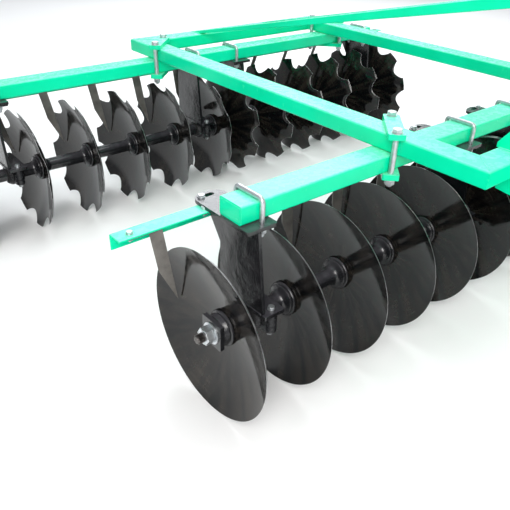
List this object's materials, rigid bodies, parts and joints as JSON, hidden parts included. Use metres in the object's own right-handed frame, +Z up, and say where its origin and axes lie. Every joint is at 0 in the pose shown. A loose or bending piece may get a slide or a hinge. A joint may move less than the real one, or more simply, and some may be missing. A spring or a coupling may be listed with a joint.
{
  "type": "disc harrow",
  "caption": "Mounted tandem disc harrow: a rectangular tube frame carries plain front and notched rear disc gangs that turn freely, with scrapers and a three-point hitch.",
  "frame": {"origin": "centre of the machine's base, on the ground that the discs stand on", "axes": "+Z up, +X towards the machine's left-hand side, -Y forwards to the tractor"},
  "size_m": [3.392, 2.296, 1.24],
  "materials": {
    "turquoise_paint": "gloss",
    "black_gloss": "gloss",
    "disc_black": "gloss"
  },
  "bodies": {
    "frame": {"front_right_outer_hanger": "black_gloss", "front_right_inner_hanger": "black_gloss", "front_right_scraper_bar": "turquoise_paint", "front_right_clamp": "turquoise_paint", "front_left_outer_hanger": "black_gloss", "front_left_inner_hanger": "black_gloss", "front_left_scraper_bar": "turquoise_paint", "front_left_clamp": "turquoise_paint", "rear_right_outer_hanger": "black_gloss", "rear_right_inner_hanger": "black_gloss", "rear_right_scraper_bar": "turquoise_paint", "rear_right_clamp": "turquoise_paint", "rear_left_outer_hanger": "black_gloss", "rear_left_inner_hanger": "black_gloss", "rear_left_scraper_bar": "turquoise_paint", "rear_left_clamp": "turquoise_paint", "front_gang_beam": "turquoise_paint", "rear_gang_beam": "turquoise_paint", "right_side_member": "turquoise_paint", "left_side_member": "turquoise_paint", "front_cross_member": "turquoise_paint", "rear_cross_member": "turquoise_paint", "top_link_bracket": "turquoise_paint", "right_lower_hitch": "turquoise_paint", "right_mast_upright": "turquoise_paint", "right_mast_brace": "turquoise_paint", "left_lower_hitch": "turquoise_paint", "left_mast_upright": "turquoise_paint", "left_mast_brace": "turquoise_paint"},
    "front_right_gang": {"front_right_disc_1": "disc_black", "front_right_disc_2": "disc_black", "front_right_disc_3": "disc_black", "front_right_disc_4": "disc_black", "front_right_disc_5": "disc_black", "front_right_disc_6": "disc_black", "front_right_axle": "black_gloss"},
    "front_left_gang": {"front_left_disc_1": "disc_black", "front_left_disc_2": "disc_black", "front_left_disc_3": "disc_black", "front_left_disc_4": "disc_black", "front_left_disc_5": "disc_black", "front_left_disc_6": "disc_black", "front_left_axle": "black_gloss"},
    "rear_right_gang": {"rear_right_disc_1": "disc_black", "rear_right_disc_2": "disc_black", "rear_right_disc_3": "disc_black", "rear_right_disc_4": "disc_black", "rear_right_disc_5": "disc_black", "rear_right_disc_6": "disc_black", "rear_right_axle": "black_gloss"},
    "rear_left_gang": {"rear_left_disc_1": "disc_black", "rear_left_disc_2": "disc_black", "rear_left_disc_3": "disc_black", "rear_left_disc_4": "disc_black", "rear_left_disc_5": "disc_black", "rear_left_disc_6": "disc_black", "rear_left_axle": "black_gloss"}
  },
  "joints": [
    {"name": "front_right_gang_turn", "type": "hinge", "parent": "frame", "child": "front_right_gang", "pos_m": [-0.665, -0.61798, 0.28], "axis": [1, 0, 0], "continuous": true},
    {"name": "front_left_gang_turn", "type": "hinge", "parent": "frame", "child": "front_left_gang", "pos_m": [0.885, -0.61798, 0.28], "axis": [1, 0, 0], "continuous": true},
    {"name": "rear_right_gang_turn", "type": "hinge", "parent": "frame", "child": "rear_right_gang", "pos_m": [-0.94, 0.86802, 0.28], "axis": [1, 0, 0], "continuous": true},
    {"name": "rear_left_gang_turn", "type": "hinge", "parent": "frame", "child": "rear_left_gang", "pos_m": [0.61, 0.86802, 0.28], "axis": [1, 0, 0], "continuous": true}
  ]
}
